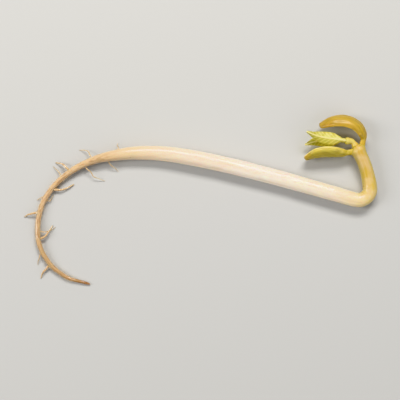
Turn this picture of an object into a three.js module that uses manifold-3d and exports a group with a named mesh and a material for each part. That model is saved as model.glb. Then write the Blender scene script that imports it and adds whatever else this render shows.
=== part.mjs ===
// A mung bean sprout, as picked and laid on a table: a thick white stem with a hooked neck, two seed leaves
// that open like a beak, a short shoot between them with its first pair of leaves, and a thin tan root.
//
// Millimetres, +Z up. The table is z = 0, and the origin is on it, under the middle of the whole sprout.
// The stem lies along X, with its head towards +X and its root towards -X.

import * as THREE from "three";
import { mergeVertices } from "three/addons/utils/BufferGeometryUtils.js";
import Module from "manifold-3d";

// Driving dimensions.
const STEM_DIAMETER = 3.4; // the stem at its thickest
const ROOT_DIAMETER = 1.15; // the thin part of the main root
const ROOTLET_DIAMETER = 0.6; // the fine side roots where they start
const HOOK_RADIUS = 2.3; // the bend of the neck, along its middle
const SEED_LEAF_WIDTH = 4.5;
const FIRST_LEAF_WIDTH = 2.6;
const FIRST_LEAF_THICKNESS = 0.62;
const SHOOT_DIAMETER = 1.3;
const SHOOT_LENGTH = 1.9;
const JOIN_GAP = 0.12; // between pieces that grow from each other
const REST_FLAT = 0.2; // how deep the underside of the stem is pressed flat where it lies

// The stem and the root seen from above. Each row is x, y, the diameter as a share of the part's own, and
// how far the underside is off the table. Below zero it is pressed flat.
const ROOT_LINE = [
  [-23.45, -16.79, 0.55, 0.0],
  [-26.85, -15.79, 0.74, 0.0],
  [-30.25, -13.19, 0.86, 0.15],
  [-32.45, -9.39, 0.92, 0.35],
  [-32.85, -4.99, 0.98, 0.3],
  [-31.85, -0.59, 1.0, 0.1],
  [-29.25, 3.21, 1.04, 0.1],
  [-25.45, 6.21, 1.16, 0.4],
  [-21.25, 8.11, 1.5, 0.5],
  [-17.25, 9.01, 2.0, 0.3],
];
const STEM_LINE = [
  [-13.65, 9.46, 0.82, 0.0],
  [-8.25, 9.41, 0.93, -REST_FLAT],
  [-2.25, 8.61, 1.0, -REST_FLAT],
  [4.15, 7.31, 1.0, -REST_FLAT],
  [10.75, 5.71, 1.0, -REST_FLAT],
  [16.95, 4.11, 0.99, -REST_FLAT],
  [22.95, 2.41, 0.97, -REST_FLAT / 2],
  [27.95, 1.01, 0.94, 0.0],
];
const HOOK = { x: 32.05, y: 2.26, from: -16, to: 100, points: 5, share: 0.92, lift: 0.0 };
const NECK_LINE = [
  [33.9, 4.91, 0.87, 0.25],
  [33.15, 7.31, 0.84, 0.65],
  [32.05, 9.71, 0.84, 0.95],
];
const [NODE_X, NODE_Y, NODE_SHARE, NODE_LIFT] = NECK_LINE[NECK_LINE.length - 1];
const NODE_RADIUS = (NODE_SHARE * STEM_DIAMETER) / 2;
const NODE = new THREE.Vector3(NODE_X, NODE_Y, NODE_RADIUS + NODE_LIFT); // it carries all the leaves

// Seed leaves: where the joint lets go of them, seen from above in degrees, the rest of their middle line,
// and where the swollen outer face looks, turning up from the right of that line.
const SEED_LEAVES = {
  cotyledon_upper: {
    leavesAt: 68,
    faces: 20,
    line: [
      [32.75, 12.71, 2.45],
      [31.55, 14.61, 2.5],
      [29.35, 15.71, 2.45],
      [26.75, 15.71, 2.4],
      [24.55, 15.01, 2.3],
    ],
  },
  cotyledon_lower: {
    leavesAt: 180,
    faces: 172,
    line: [
      [29.05, 9.61, 2.35],
      [27.05, 9.86, 2.35],
      [24.95, 9.91, 2.35],
      [22.95, 9.46, 2.3],
      [21.45, 8.61, 2.25],
    ],
  },
};
// Sizes at even steps from the stalk to the tip: half the width, the outer swelling, the inner swelling.
const SEED_LEAF_SIZES = [
  [0.48, 0.46, 0.42],
  [0.8, 0.7, 0.45],
  [1.7, 1.1, 0.5],
  [2.12, 1.34, 0.56],
  [SEED_LEAF_WIDTH / 2, 1.45, 0.58],
  [2.24, 1.42, 0.58],
  [2.1, 1.3, 0.56],
  [1.8, 1.06, 0.5],
  [1.25, 0.74, 0.42],
];
const SEED_LEAF_TIP = [0.55, 0.34];

// First leaves: up or down, and their middle line from the end of the shoot: forwards, away from the pair's
// middle, and to the left.
const SHOOT_LEAVES_AT = 122;
const SHOOT_POINTS_AT = 172;
const FIRST_LEAVES = {
  first_leaf_upper: {
    facing: 1,
    line: [
      [0.82, 0.55, 0.0],
      [1.5, 0.88, 0.0],
      [3.0, 1.02, 0.05],
      [4.9, 1.05, 0.05],
      [6.7, 1.2, -0.15],
      [8.3, 1.6, -0.55],
    ],
  },
  first_leaf_lower: {
    facing: -1,
    line: [
      [0.82, 0.55, 0.0],
      [1.5, 0.88, 0.0],
      [3.0, 0.98, 0.2],
      [4.9, 0.95, 0.55],
      [6.7, 0.85, 1.1],
      [8.1, 0.7, 1.8],
    ],
  },
};
const HALF_THIN = FIRST_LEAF_THICKNESS / 2;
const FIRST_LEAF_SIZES = [
  [0.36, 0.36, 0.36],
  [0.38, 0.36, 0.36],
  [0.75, 0.36, 0.32],
  [1.18, 0.34, HALF_THIN],
  [FIRST_LEAF_WIDTH / 2, 0.34, HALF_THIN],
  [1.2, 0.33, HALF_THIN],
  [0.95, HALF_THIN, HALF_THIN],
  [0.56, HALF_THIN, HALF_THIN],
  [0.24, 0.24, 0.24],
];
const FIRST_LEAF_TIP = [0.3, 0.16];

// Fine roots: share of the way along the main root from its tip, direction seen from above, rise, length.
const ROOTLETS = [
  [0.2, 205, 0.1, 3.2],
  [0.33, 20, 0.15, 3.8],
  [0.45, 165, 0.35, 3.0],
  [0.57, -15, 0.1, 4.4],
  [0.68, 120, 0.3, 3.4],
];

const STEM_SIDES = 24;
const ROOT_SIDES = 12;
const LEAF_SIDES = 16;
const UP = new THREE.Vector3(0, 0, 1);

const polar = (degrees, distance) => {
  const angle = THREE.MathUtils.degToRad(degrees);
  return new THREE.Vector3(distance * Math.cos(angle), distance * Math.sin(angle), 0);
};
const curveThrough = (points) => new THREE.CatmullRomCurve3(points, false, "centripetal");
const sizesAlong = (rows) => new THREE.CatmullRomCurve3(rows.map((row) => new THREE.Vector3(...row)));
const evenSteps = (count) => Array.from({ length: count + 1 }, (_, k) => k / count);

/** A closed surface of revolution about Y. The profile is [distance, radius] and starts and ends on the axis. */
function turned(profile, sides) {
  const lathe = new THREE.LatheGeometry(
    profile.map(([distance, radius]) => new THREE.Vector2(radius, distance)),
    sides,
    Math.PI / sides,
  );
  lathe.deleteAttribute("normal");
  lathe.deleteAttribute("uv");
  const geometry = mergeVertices(lathe, 1e-5);
  const corners = Array.from(geometry.index.array);
  const faces = evenSteps(corners.length / 3 - 1).map((_, k) => corners.slice(3 * k, 3 * k + 3));
  geometry.setIndex(faces.filter((face) => new Set(face).size === 3).flat());
  return geometry;
}

/** A rounded end for a profile: it goes from the full radius at start to the axis, reach further on. */
function roundEnd(start, radius, reach, steps = 4) {
  return evenSteps(steps)
    .slice(1)
    .map((share) => share * (Math.PI / 2))
    .map((angle) => [start + reach * Math.sin(angle), Math.max(radius * Math.cos(angle), 1e-9)])
    .map(([distance, size], k) => (k + 1 < steps ? [distance, size] : [distance, 0]));
}

/** The directions at a share of the way along a curve: along it, to its right, and up from both. */
function directionsAt(curve, share) {
  const along = curve.getTangent(share);
  const side = along.clone().cross(UP).normalize();
  return { along, side, across: side.clone().cross(along) };
}

/**
 * Bends a turned piece along a curve that is taken as length long; past the ends it goes straight on. shape
 * makes a place right of and above the curve from the turned piece's own. The table stops what would sink.
 */
function bend(geometry, curve, length, shape = (x, z) => [x, z]) {
  const position = geometry.attributes.position;
  for (let i = 0; i < position.count; i++) {
    const distance = position.getY(i);
    const share = THREE.MathUtils.clamp(distance / length, 0, 1);
    const { along, side, across } = directionsAt(curve, share);
    const [x, z] = shape(position.getX(i), position.getZ(i), share);
    const point = curve.getPoint(share).addScaledVector(along, distance - share * length);
    point.addScaledVector(side, x).addScaledVector(across, z);
    position.setXYZ(i, point.x, point.y, Math.max(point.z, 0));
  }
  return geometry;
}

/** The curve and the radius along it of rows of x, y, diameter and lift. */
function strand(rows) {
  const points = rows.map(([x, y, diameter, lift]) => new THREE.Vector3(x, y, diameter / 2 + lift));
  const girth = sizesAlong(rows.map(([, , diameter], k) => [diameter / 2, k, 0]));
  return { curve: curveThrough(points), radiusAt: (share) => girth.getPoint(share).x };
}

/** The bend of the neck, as rows like those of the stem. */
function hookRows() {
  return evenSteps(HOOK.points - 1).map((share) => {
    const place = polar(HOOK.from + share * (HOOK.to - HOOK.from) - 90, HOOK_RADIUS);
    return [HOOK.x + place.x, HOOK.y + place.y, HOOK.share, HOOK.lift];
  });
}

// One line runs from the root's tip to the seed leaves. The root is the part of it before the collar.
const sized = (rows, diameter) => rows.map(([x, y, share, lift]) => [x, y, share * diameter, lift]);
const ROWS = [
  ...sized(ROOT_LINE, ROOT_DIAMETER),
  ...sized([...STEM_LINE, ...hookRows(), ...NECK_LINE], STEM_DIAMETER),
];
const SPANS = ROWS.length - 1;
const COLLAR = ROOT_LINE.length / SPANS;
const { curve: MIDDLE_LINE, radiusAt } = strand(ROWS);
const MIDDLE_LENGTH = MIDDLE_LINE.getLength();

/** A stretch of the middle line's profile, from one share of the way along it to another. */
function sleeveBetween(from, to) {
  const steps = Math.round((to - from) * SPANS * 4);
  const shares = evenSteps(steps).map((part) => THREE.MathUtils.lerp(from, to, part));
  return shares.map((share) => [share * MIDDLE_LENGTH, radiusAt(share)]);
}

/** The stem with its hook and neck, cut square where the root begins, and round at the joint of its head. */
function stem() {
  const head = roundEnd(MIDDLE_LENGTH, NODE_RADIUS, NODE_RADIUS, 5);
  const profile = [[COLLAR * MIDDLE_LENGTH, 0], ...sleeveBetween(COLLAR, 1), ...head];
  return bend(turned(profile, STEM_SIDES), MIDDLE_LINE, MIDDLE_LENGTH);
}

/** The main root, from its pointed tip to the square end that meets the stem. */
function mainRoot() {
  const spanLength = MIDDLE_LINE.getPoint(COLLAR).distanceTo(MIDDLE_LINE.getPoint(COLLAR - 1 / SPANS));
  const end = COLLAR - JOIN_GAP / spanLength / SPANS;
  const tip = roundEnd(0, radiusAt(0), 4 * radiusAt(0)).map(([distance, radius]) => [-distance, radius]);
  const profile = [...tip.reverse(), ...sleeveBetween(0, end), [end * MIDDLE_LENGTH, 0]];
  return bend(turned(profile, ROOT_SIDES), MIDDLE_LINE, MIDDLE_LENGTH);
}

/** A fine root: a tapering thread that starts inside the main root and bends as it comes down to the table. */
function rootlet([share, degrees, rise, length]) {
  const start = MIDDLE_LINE.getPoint(share * COLLAR);
  const radius = ROOTLET_DIAMETER / 2;
  const points = evenSteps(3).map((part) => {
    const height = THREE.MathUtils.lerp(start.z, radius * 0.8, part * part) + length * rise * part * (1 - part);
    return start.clone().add(polar(degrees + 26 * part, length * part)).setZ(height);
  });
  const sleeve = evenSteps(6).map((part) => [part * length, radius * (1 - 0.35 * part)]);
  const profile = [[0, 0], ...sleeve, ...roundEnd(length, 0.65 * radius, 0.5, 2)];
  return bend(turned(profile, 7), curveThrough(points), length);
}

/**
 * A leaf along a curve, whose sizes are half widths, outer and inner swellings. Its outer face looks faces
 * degrees up from the right of the curve, and its edges are folded inwards by fold times the half width.
 */
function blade(curve, rows, tip, faces, fold) {
  const sizes = sizesAlong(rows);
  const length = curve.getLength();
  const turn = THREE.MathUtils.degToRad(faces);
  const sleeve = evenSteps(2.5 * (rows.length - 1)).map((share) => [share * length, 1]);
  const [reach, mid] = tip;
  const profile = [[0, 0], ...sleeve, [length + mid, 0.66], [length + reach, 0]];
  return bend(turned(profile, LEAF_SIDES), curve, length, (x, z, share) => {
    const [halfWidth, outer, inner] = sizes.getPoint(share).toArray();
    const thick = x * (x > 0 ? outer : inner) - fold * halfWidth * z * z;
    const wide = z * halfWidth;
    return [thick * Math.cos(turn) - wide * Math.sin(turn), thick * Math.sin(turn) + wide * Math.cos(turn)];
  });
}

/** Half of the bean, on its short stalk: it swells outwards and is nearly flat inside. */
function seedLeaf({ leavesAt, faces, line }) {
  const base = NODE.clone().add(polar(leavesAt, NODE_RADIUS + JOIN_GAP));
  const curve = curveThrough([base, ...line.map((point) => new THREE.Vector3(...point))]);
  return blade(curve, SEED_LEAF_SIZES, SEED_LEAF_TIP, faces, 0.1);
}

/** The short shoot between the seed leaves. It swells to the bud that closes its end. */
function shoot() {
  const start = NODE.clone().add(polar(SHOOT_LEAVES_AT, NODE_RADIUS + JOIN_GAP));
  const middle = start.clone().add(polar(SHOOT_LEAVES_AT + 8, SHOOT_LENGTH / 2));
  const end = middle.clone().add(polar(SHOOT_POINTS_AT, SHOOT_LENGTH / 2)).add(new THREE.Vector3(0, 0, 0.12));
  const curve = curveThrough([start, middle, end]);
  const radius = SHOOT_DIAMETER / 2;
  const sleeve = [0.92, 0.88, 0.88, 0.93, 1, 1.1, 1.18];
  const profile = evenSteps(sleeve.length - 1).map((share, k) => [share * SHOOT_LENGTH, sleeve[k] * radius]);
  const bud = roundEnd(SHOOT_LENGTH, 1.18 * radius, 0.72, 4);
  return { geometry: bend(turned([[0, 0], ...profile, ...bud], ROOT_SIDES), curve, SHOOT_LENGTH), end };
}

/** One of the first pair of leaves: a short stalk and a narrow blade, folded along its middle like a boat. */
function firstLeaf(from, { facing, line }) {
  const forwards = polar(SHOOT_POINTS_AT, 1);
  const left = polar(SHOOT_POINTS_AT + 90, 1);
  const points = line.map(([ahead, away, aside]) =>
    from
      .clone()
      .addScaledVector(forwards, ahead)
      .addScaledVector(UP, facing * away)
      .addScaledVector(left, aside),
  );
  return blade(curveThrough(points), FIRST_LEAF_SIZES, FIRST_LEAF_TIP, facing * 90, 0.24);
}

const wasm = await Module();
wasm.setup();

/** A geometry as a solid that can be joined to another. */
function solidOf(geometry) {
  const vertProperties = new Float32Array(geometry.attributes.position.array);
  const triVerts = new Uint32Array(geometry.index.array);
  return new wasm.Manifold(new wasm.Mesh({ numProp: 3, vertProperties, triVerts }));
}

/** The whole root as one body: the main root with its fine roots grown out of it. */
function rootSystem() {
  const joined = ROOTLETS.reduce((body, row) => body.add(solidOf(rootlet(row))), solidOf(mainRoot()));
  const mesh = joined.getMesh();
  const root = new THREE.BufferGeometry();
  root.setAttribute("position", new THREE.BufferAttribute(mesh.vertProperties, mesh.numProp));
  return root.setIndex(new THREE.BufferAttribute(mesh.triVerts, 1));
}

const STEM_SKIN = new THREE.MeshStandardMaterial({ color: 0xf6ead2, roughness: 0.38, metalness: 0 });
const ROOT_SKIN = new THREE.MeshStandardMaterial({ color: 0xdcb888, roughness: 0.6, metalness: 0 });
const SEED_LEAF_SKIN = new THREE.MeshStandardMaterial({ color: 0xd8bb4a, roughness: 0.48, metalness: 0 });
const SHOOT_SKIN = new THREE.MeshStandardMaterial({ color: 0xe6d98c, roughness: 0.45, metalness: 0 });
const FIRST_LEAF_SKIN = new THREE.MeshStandardMaterial({ color: 0xc9b93c, roughness: 0.52, metalness: 0 });

const sprout = new THREE.Group();

function addPiece(name, geometry, material) {
  geometry.computeVertexNormals();
  const piece = new THREE.Mesh(geometry, material);
  piece.name = name;
  sprout.add(piece);
}

addPiece("hypocotyl_stem", stem(), STEM_SKIN);
addPiece("taproot", rootSystem(), ROOT_SKIN);
for (const [name, leaf] of Object.entries(SEED_LEAVES)) addPiece(name, seedLeaf(leaf), SEED_LEAF_SKIN);
const { geometry: shootGeometry, end: shootEnd } = shoot();
addPiece("epicotyl_shoot", shootGeometry, SHOOT_SKIN);
for (const [name, leaf] of Object.entries(FIRST_LEAVES)) {
  addPiece(name, firstLeaf(shootEnd, leaf), FIRST_LEAF_SKIN);
}

// The origin goes under the middle of the whole sprout.
const middle = new THREE.Box3().setFromObject(sprout).getCenter(new THREE.Vector3());
for (const piece of sprout.children) piece.geometry.translate(-middle.x, -middle.y, 0);

export default sprout;
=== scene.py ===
"""A mung bean sprout, as picked, laid on a pale table and seen from straight above.

A piece is shaped in millimetres and turned to metres when it is finished. Every round piece is spun about Y
and then bent onto its own line, and each of its points notes where it was while the piece was straight. The
finishes read that note, so their grain follows the bends.
"""
import logging
import math
import random
from bisect import bisect_left
from dataclasses import dataclass
from enum import Enum
from typing import Any, Callable, NamedTuple, Sequence

import bmesh
import bpy
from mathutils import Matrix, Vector, noise


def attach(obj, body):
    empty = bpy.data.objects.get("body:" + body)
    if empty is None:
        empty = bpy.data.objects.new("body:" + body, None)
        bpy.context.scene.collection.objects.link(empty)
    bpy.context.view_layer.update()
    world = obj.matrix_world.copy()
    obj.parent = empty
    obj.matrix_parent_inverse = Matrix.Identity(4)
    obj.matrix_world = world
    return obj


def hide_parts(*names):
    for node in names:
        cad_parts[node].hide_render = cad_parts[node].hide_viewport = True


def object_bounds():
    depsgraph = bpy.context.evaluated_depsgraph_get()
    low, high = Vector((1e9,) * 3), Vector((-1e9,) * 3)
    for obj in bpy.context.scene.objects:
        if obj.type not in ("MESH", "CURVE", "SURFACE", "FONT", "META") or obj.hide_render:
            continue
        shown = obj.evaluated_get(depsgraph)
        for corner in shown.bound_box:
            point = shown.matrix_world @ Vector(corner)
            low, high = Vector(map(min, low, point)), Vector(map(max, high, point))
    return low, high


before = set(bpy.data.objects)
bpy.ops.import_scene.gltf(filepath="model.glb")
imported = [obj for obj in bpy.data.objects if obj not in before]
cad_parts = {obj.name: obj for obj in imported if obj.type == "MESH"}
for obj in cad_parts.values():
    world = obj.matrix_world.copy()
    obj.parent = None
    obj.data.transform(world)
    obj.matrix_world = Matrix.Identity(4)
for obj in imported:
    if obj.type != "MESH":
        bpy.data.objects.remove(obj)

log = logging.getLogger("sprout")

CAD_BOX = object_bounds()
MM = 0.001
UP = Vector((0.0, 0.0, 1.0))

# Driving dimensions, in millimetres, the same as in the part's source.
STEM_DIAMETER = 3.4
ROOT_DIAMETER = 1.15
ROOTLET_DIAMETER = 0.6
HOOK_RADIUS = 2.3
SEED_LEAF_WIDTH = 4.5
FIRST_LEAF_WIDTH = 2.6
FIRST_LEAF_THICKNESS = 0.62
SHOOT_DIAMETER = 1.3
SHOOT_LENGTH = 1.9
JOIN_GAP = 0.12
REST_FLAT = 0.2

Row = tuple[float, float, float, float]
Triple = tuple[float, float, float]
# The middle line from above: x, y, diameter as a share of the part's own, height of the underside.
ROOT_LINE: tuple[Row, ...] = (
    (-23.45, -16.79, 0.55, 0.0),
    (-26.85, -15.79, 0.74, 0.0),
    (-30.25, -13.19, 0.86, 0.15),
    (-32.45, -9.39, 0.92, 0.35),
    (-32.85, -4.99, 0.98, 0.3),
    (-31.85, -0.59, 1.0, 0.1),
    (-29.25, 3.21, 1.04, 0.1),
    (-25.45, 6.21, 1.16, 0.4),
    (-21.25, 8.11, 1.5, 0.5),
    (-17.25, 9.01, 2.0, 0.3),
)
STEM_LINE: tuple[Row, ...] = (
    (-13.65, 9.46, 0.82, 0.0),
    (-8.25, 9.41, 0.93, -REST_FLAT),
    (-2.25, 8.61, 1.0, -REST_FLAT),
    (4.15, 7.31, 1.0, -REST_FLAT),
    (10.75, 5.71, 1.0, -REST_FLAT),
    (16.95, 4.11, 0.99, -REST_FLAT),
    (22.95, 2.41, 0.97, -REST_FLAT / 2),
    (27.95, 1.01, 0.94, 0.0),
)
# The hook: its middle from above, its headings at start and end, its diameter as a share, and its points.
HOOK_CENTRE = (32.05, 2.26)
HOOK_HEADINGS = (-16.0, 100.0)
HOOK_SHARE = 0.92
HOOK_POINTS = 5
NECK_LINE: tuple[Row, ...] = (
    (33.9, 4.91, 0.87, 0.25),
    (33.15, 7.31, 0.84, 0.65),
    (32.05, 9.71, 0.84, 0.95),
)
# Share of the way along the main root, direction from above in degrees, rise as a share of length, length.
ROOTLETS: tuple[Row, ...] = (
    (0.2, 205.0, 0.1, 3.2),
    (0.33, 20.0, 0.15, 3.8),
    (0.45, 165.0, 0.35, 3.0),
    (0.57, -15.0, 0.1, 4.4),
    (0.68, 120.0, 0.3, 3.4),
)
# How far a side root turns aside between its foot and its tip, in degrees.
ROOTLET_TURN = 26.0
# The middle line of each seed leaf after its foot.
SEED_LEAF_UPPER_LINE: tuple[Triple, ...] = (
    (32.75, 12.71, 2.45), (31.55, 14.61, 2.5), (29.35, 15.71, 2.45), (26.75, 15.71, 2.4), (24.55, 15.01, 2.3),
)
SEED_LEAF_LOWER_LINE: tuple[Triple, ...] = (
    (29.05, 9.61, 2.35), (27.05, 9.86, 2.35), (24.95, 9.91, 2.35), (22.95, 9.46, 2.3), (21.45, 8.61, 2.25),
)
# Half the width, the outer swelling and the inner one, at even steps from the stalk to the tip.
SEED_LEAF_SIZES: tuple[Triple, ...] = (
    (0.48, 0.46, 0.42),
    (0.8, 0.7, 0.45),
    (1.7, 1.1, 0.5),
    (2.12, 1.34, 0.56),
    (SEED_LEAF_WIDTH / 2, 1.45, 0.58),
    (2.24, 1.42, 0.58),
    (2.1, 1.3, 0.56),
    (1.8, 1.06, 0.5),
    (1.25, 0.74, 0.42),
)
# In degrees: where the stalks leave the joint at the stem's head, from above, and how the leaves are turned.
UPPER_LEAVES_AT = 68.0
UPPER_FACES = 20.0
LOWER_LEAVES_AT = 180.0
LOWER_FACES = 172.0
SHOOT_LEAVES_AT = 122.0
SHOOT_TURN = 8.0
SHOOT_POINTS_AT = 172.0
# How far the shoot's end lies above its foot, in mm.
SHOOT_RISE = 0.12
# Forwards, away and left from the end of the shoot.
FIRST_LEAF_UPPER_LINE: tuple[Triple, ...] = (
    (0.82, 0.55, 0.0), (1.5, 0.88, 0.0), (3.0, 1.02, 0.05),
    (4.9, 1.05, 0.05), (6.7, 1.2, -0.15), (8.3, 1.6, -0.55),
)
FIRST_LEAF_LOWER_LINE: tuple[Triple, ...] = (
    (0.82, 0.55, 0.0), (1.5, 0.88, 0.0), (3.0, 0.98, 0.2),
    (4.9, 0.95, 0.55), (6.7, 0.85, 1.1), (8.1, 0.7, 1.8),
)
HALF_THIN = FIRST_LEAF_THICKNESS / 2
# Half the width and the two halves of the thickness, at even steps from the stalk to the tip.
FIRST_LEAF_SIZES: tuple[Triple, ...] = (
    (0.36, 0.36, 0.36),
    (0.38, 0.36, 0.36),
    (0.75, 0.36, 0.32),
    (1.18, 0.34, HALF_THIN),
    (FIRST_LEAF_WIDTH / 2, 0.34, HALF_THIN),
    (1.2, 0.33, HALF_THIN),
    (0.95, HALF_THIN, HALF_THIN),
    (0.56, HALF_THIN, HALF_THIN),
    (0.24, 0.24, 0.24),
)

# Every girth is a little under its solid's, so that no ridge stands proud of it.
GIRTH_KEPT = 0.985
# How far below the solid's skin root and stem meet, in mm.
COLLAR_DEPTH = 0.04
# Points nearer than this, in mm, are one point.
SAME_PLACE = 1e-5


def polar(degrees: float, distance: float) -> Vector:
    """A level step of that length in that direction, seen from above."""
    angle = math.radians(degrees)
    return Vector((distance * math.cos(angle), distance * math.sin(angle), 0.0))


def ease(value: float, low: float, high: float) -> float:
    """0 below low, 1 above high, and a smooth rise between them."""
    part = min(max((value - low) / (high - low), 0.0), 1.0)
    return part * part * (3.0 - 2.0 * part)


def hump(value: float, width: float) -> float:
    """A smooth bell of height 1 round zero."""
    return math.exp(-((value / width) ** 2))


def rough(x: float, y: float, z: float) -> float:
    """Smooth unevenness from 0 to 1, the same in each run."""
    return 0.5 + 0.5 * noise.noise(Vector((x, y, z)))


class Unevenness(NamedTuple):
    """Soft noise over a round skin: how fine it is round the piece, its length along it, and its start."""

    around: float
    along: float
    shift: tuple[float, float] = (0.0, 0.0)

    def at(self, cos: float, sin: float, distance: float) -> float:
        """The noise from 0 to 1, where the skin faces that way."""
        right, up = self.shift
        return rough(cos * self.around + right, distance / self.along, sin * self.around + up)


class SmoothLine:
    """A smooth curve through points. A share counts the points evenly, and a distance is in mm along it."""

    CHECKS_PER_SPAN = 24
    # The share to each side of a place that its direction is read over.
    NEARBY = 1e-3

    def __init__(self, points: Sequence[Sequence[float]]) -> None:
        """Measures the curve.

        Args:
            points: The points that the curve goes through, in millimetres.
        """
        self.points = [Vector(point) for point in points]
        self.spans = len(self.points) - 1
        checks = self.spans * self.CHECKS_PER_SPAN
        places = [self.at(k / checks) for k in range(checks + 1)]
        self.marks = [0.0]
        for before, here in zip(places, places[1:]):
            self.marks.append(self.marks[-1] + (here - before).length)

    @property
    def length(self) -> float:
        """The whole length in mm."""
        return self.marks[-1]

    def at(self, share: float) -> Vector:
        """Works out a point of the curve, by a centripetal spline that goes through every point.

        Args:
            share: The share of the way.

        Returns:
            The point.
        """
        place = self.spans * min(max(share, 0.0), 1.0)
        k = min(int(place), self.spans - 1)
        part = place - k
        p1, p2 = self.points[k], self.points[k + 1]
        p0 = self.points[k - 1] if k > 0 else p1 * 2 - p2
        p3 = self.points[k + 2] if k + 2 <= self.spans else p2 * 2 - p1
        d0, d1, d2 = (math.sqrt((b - a).length) for a, b in ((p0, p1), (p1, p2), (p2, p3)))
        leaving = ((p1 - p0) / d0 - (p2 - p0) / (d0 + d1) + (p2 - p1) / d1) * d1
        arriving = ((p2 - p1) / d1 - (p3 - p1) / (d1 + d2) + (p3 - p2) / d2) * d1
        square = (p2 - p1) * 3 - leaving * 2 - arriving
        cube = (p1 - p2) * 2 + leaving + arriving
        return p1 + leaving * part + square * part**2 + cube * part**3

    def directions(self, share: float) -> tuple[Vector, Vector, Vector]:
        """Works out the directions along the curve, to its right, and up from both.

        Args:
            share: The share of the way.

        Returns:
            The three directions.
        """
        along = (self.at(share + self.NEARBY) - self.at(share - self.NEARBY)).normalized()
        side = along.cross(UP).normalized()
        return along, side, side.cross(along)

    def distance_at(self, share: float) -> float:
        """Turns a share of the way into a distance.

        Args:
            share: The share of the way.

        Returns:
            How far along the curve that is, in mm.
        """
        place = min(max(share, 0.0), 1.0) * (len(self.marks) - 1)
        k = min(int(place), len(self.marks) - 2)
        return self.marks[k] + (self.marks[k + 1] - self.marks[k]) * (place - k)

    def share_at(self, distance: float) -> float:
        """Turns a distance into a share of the way.

        Args:
            distance: How far along the curve, in mm.

        Returns:
            The share of the way.
        """
        distance = min(max(distance, 0.0), self.length)
        k = min(max(bisect_left(self.marks, distance), 1), len(self.marks) - 1)
        span = self.marks[k] - self.marks[k - 1]
        return (k - 1 + (distance - self.marks[k - 1]) / span) / (len(self.marks) - 1)

    @staticmethod
    def steps(start: float, end: float, spacing: float) -> list[float]:
        """Distances from one to the other, about spacing apart."""
        count = max(round((end - start) / spacing), 1)
        return [start + (end - start) * k / count for k in range(count + 1)]


class Spot(NamedTuple):
    """A point of a turned body: right and up from its axis, and the share and the distance along its line."""

    right: float
    up: float
    share: float
    distance: float


class Placed(NamedTuple):
    """Where a point goes across the line, in mm, and how deep in a fold it lies there, from 0 to 1, which is
    painted as shade.
    """

    right: float
    up: float
    fold: float


Profile = list[tuple[float, float]]
Section = Callable[[Spot], Placed]


class Foot(NamedTuple):
    """The foot of a stalk: how far it is let into what carries it, its share of spreading, and how far up."""

    sunk: float
    flare: float
    reach: float

    def spread(self, distance: float) -> float:
        """Works out how much wider the foot is, and how it closes again inside what carries it.

        Args:
            distance: The place along the stalk, from its start, in mm.

        Returns:
            The factor on the stalk's width.
        """
        curve, closing, closes_from = 2.4, 0.6, 0.05
        spread = 1.0 + self.flare * (1.0 - min(max(distance / self.reach, 0.0), 1.0)) ** curve
        return spread * (1.0 - closing * ease(-distance, closes_from, self.sunk))

    def profile(self, length: float, spacing: float) -> Profile:
        """The profile of a stalk and its leaf, 1 wide past the foot, up to where the tip starts."""
        places = SmoothLine.steps(-self.sunk, length, spacing)
        return [(-self.sunk, 0.0), *((place, self.spread(place)) for place in places)]


def turned(profile: Profile, sides: int) -> bmesh.types.BMesh:
    """Spins a profile about Y into one closed body.

    Args:
        profile: Distance along Y and radius, from axis to axis.
        sides: How many faces go round.

    Returns:
        The body, with its seam and poles closed and its faces pointing out.
    """
    bm = bmesh.new()
    chain = [bmesh.ops.create_vert(bm, co=(radius, distance, 0.0))["vert"][0] for distance, radius in profile]
    edges = [bm.edges.new(pair) for pair in zip(chain, chain[1:])]
    bmesh.ops.spin(
        bm, geom=chain + edges, cent=(0.0, 0.0, 0.0), axis=(0.0, 1.0, 0.0), dvec=(0.0, 0.0, 0.0),
        angle=math.tau, steps=sides, use_merge=True, use_normal_flip=False, use_duplicate=False,
    )
    bmesh.ops.remove_doubles(bm, verts=bm.verts, dist=SAME_PLACE)
    bmesh.ops.recalc_face_normals(bm, faces=bm.faces)
    return bm


def bend(
    bm: bmesh.types.BMesh,
    line: SmoothLine,
    section: Section,
    turn: float = 0.0,
    ways: tuple[float, float] = (0.0, 1.0),
) -> None:
    """Lays a turned body along a line, and notes on each point what the finishes read.

    The grain attribute is the point's place while the piece was straight, way is how far along it is, facing
    is the side that it is on (right, nothing, up), and fold is how deep in a crease it lies.

    Args:
        bm: The turned body, whose Y is the distance along the line. Past the ends it goes straight on.
        line: The line of the body's middle.
        section: Makes the place across the line.
        turn: How far the section is turned about the line, in degrees.
        ways: What the way attribute is at the start and at the end.
    """
    grain = bm.verts.layers.float_vector.new("grain")
    facing = bm.verts.layers.float_vector.new("facing")
    way = bm.verts.layers.float.new("way")
    # How deep in a crease a point lies, which the finishes paint as shade.
    fold = bm.verts.layers.float.new("fold")
    cos, sin = math.cos(math.radians(turn)), math.sin(math.radians(turn))
    # The points of one ring agree in their distance to this many parts of a mm.
    parts = 1e4
    known: dict[int, tuple[float, Vector, tuple[Vector, Vector, Vector]]] = {}
    for vert in bm.verts:
        x, distance, z = vert.co
        ring = round(distance * parts)
        if ring not in known:
            share = line.share_at(distance)
            known[ring] = (share, line.at(share), line.directions(share))
        share, middle, (along, side, across) = known[ring]
        right, up, depth = section(Spot(x, z, share, distance))
        radius = max(math.hypot(x, z), SAME_PLACE)
        vert[grain] = (right, distance, up)
        vert[facing] = (x / radius, 0.0, z / radius)
        vert[way] = ways[0] + (ways[1] - ways[0]) * share
        vert[fold] = depth
        beyond = distance - min(max(distance, 0.0), line.length)
        place = middle + along * beyond
        place += side * (right * cos - up * sin) + across * (right * sin + up * cos)
        place.z = max(place.z, 0.0)
        vert.co = place


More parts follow.
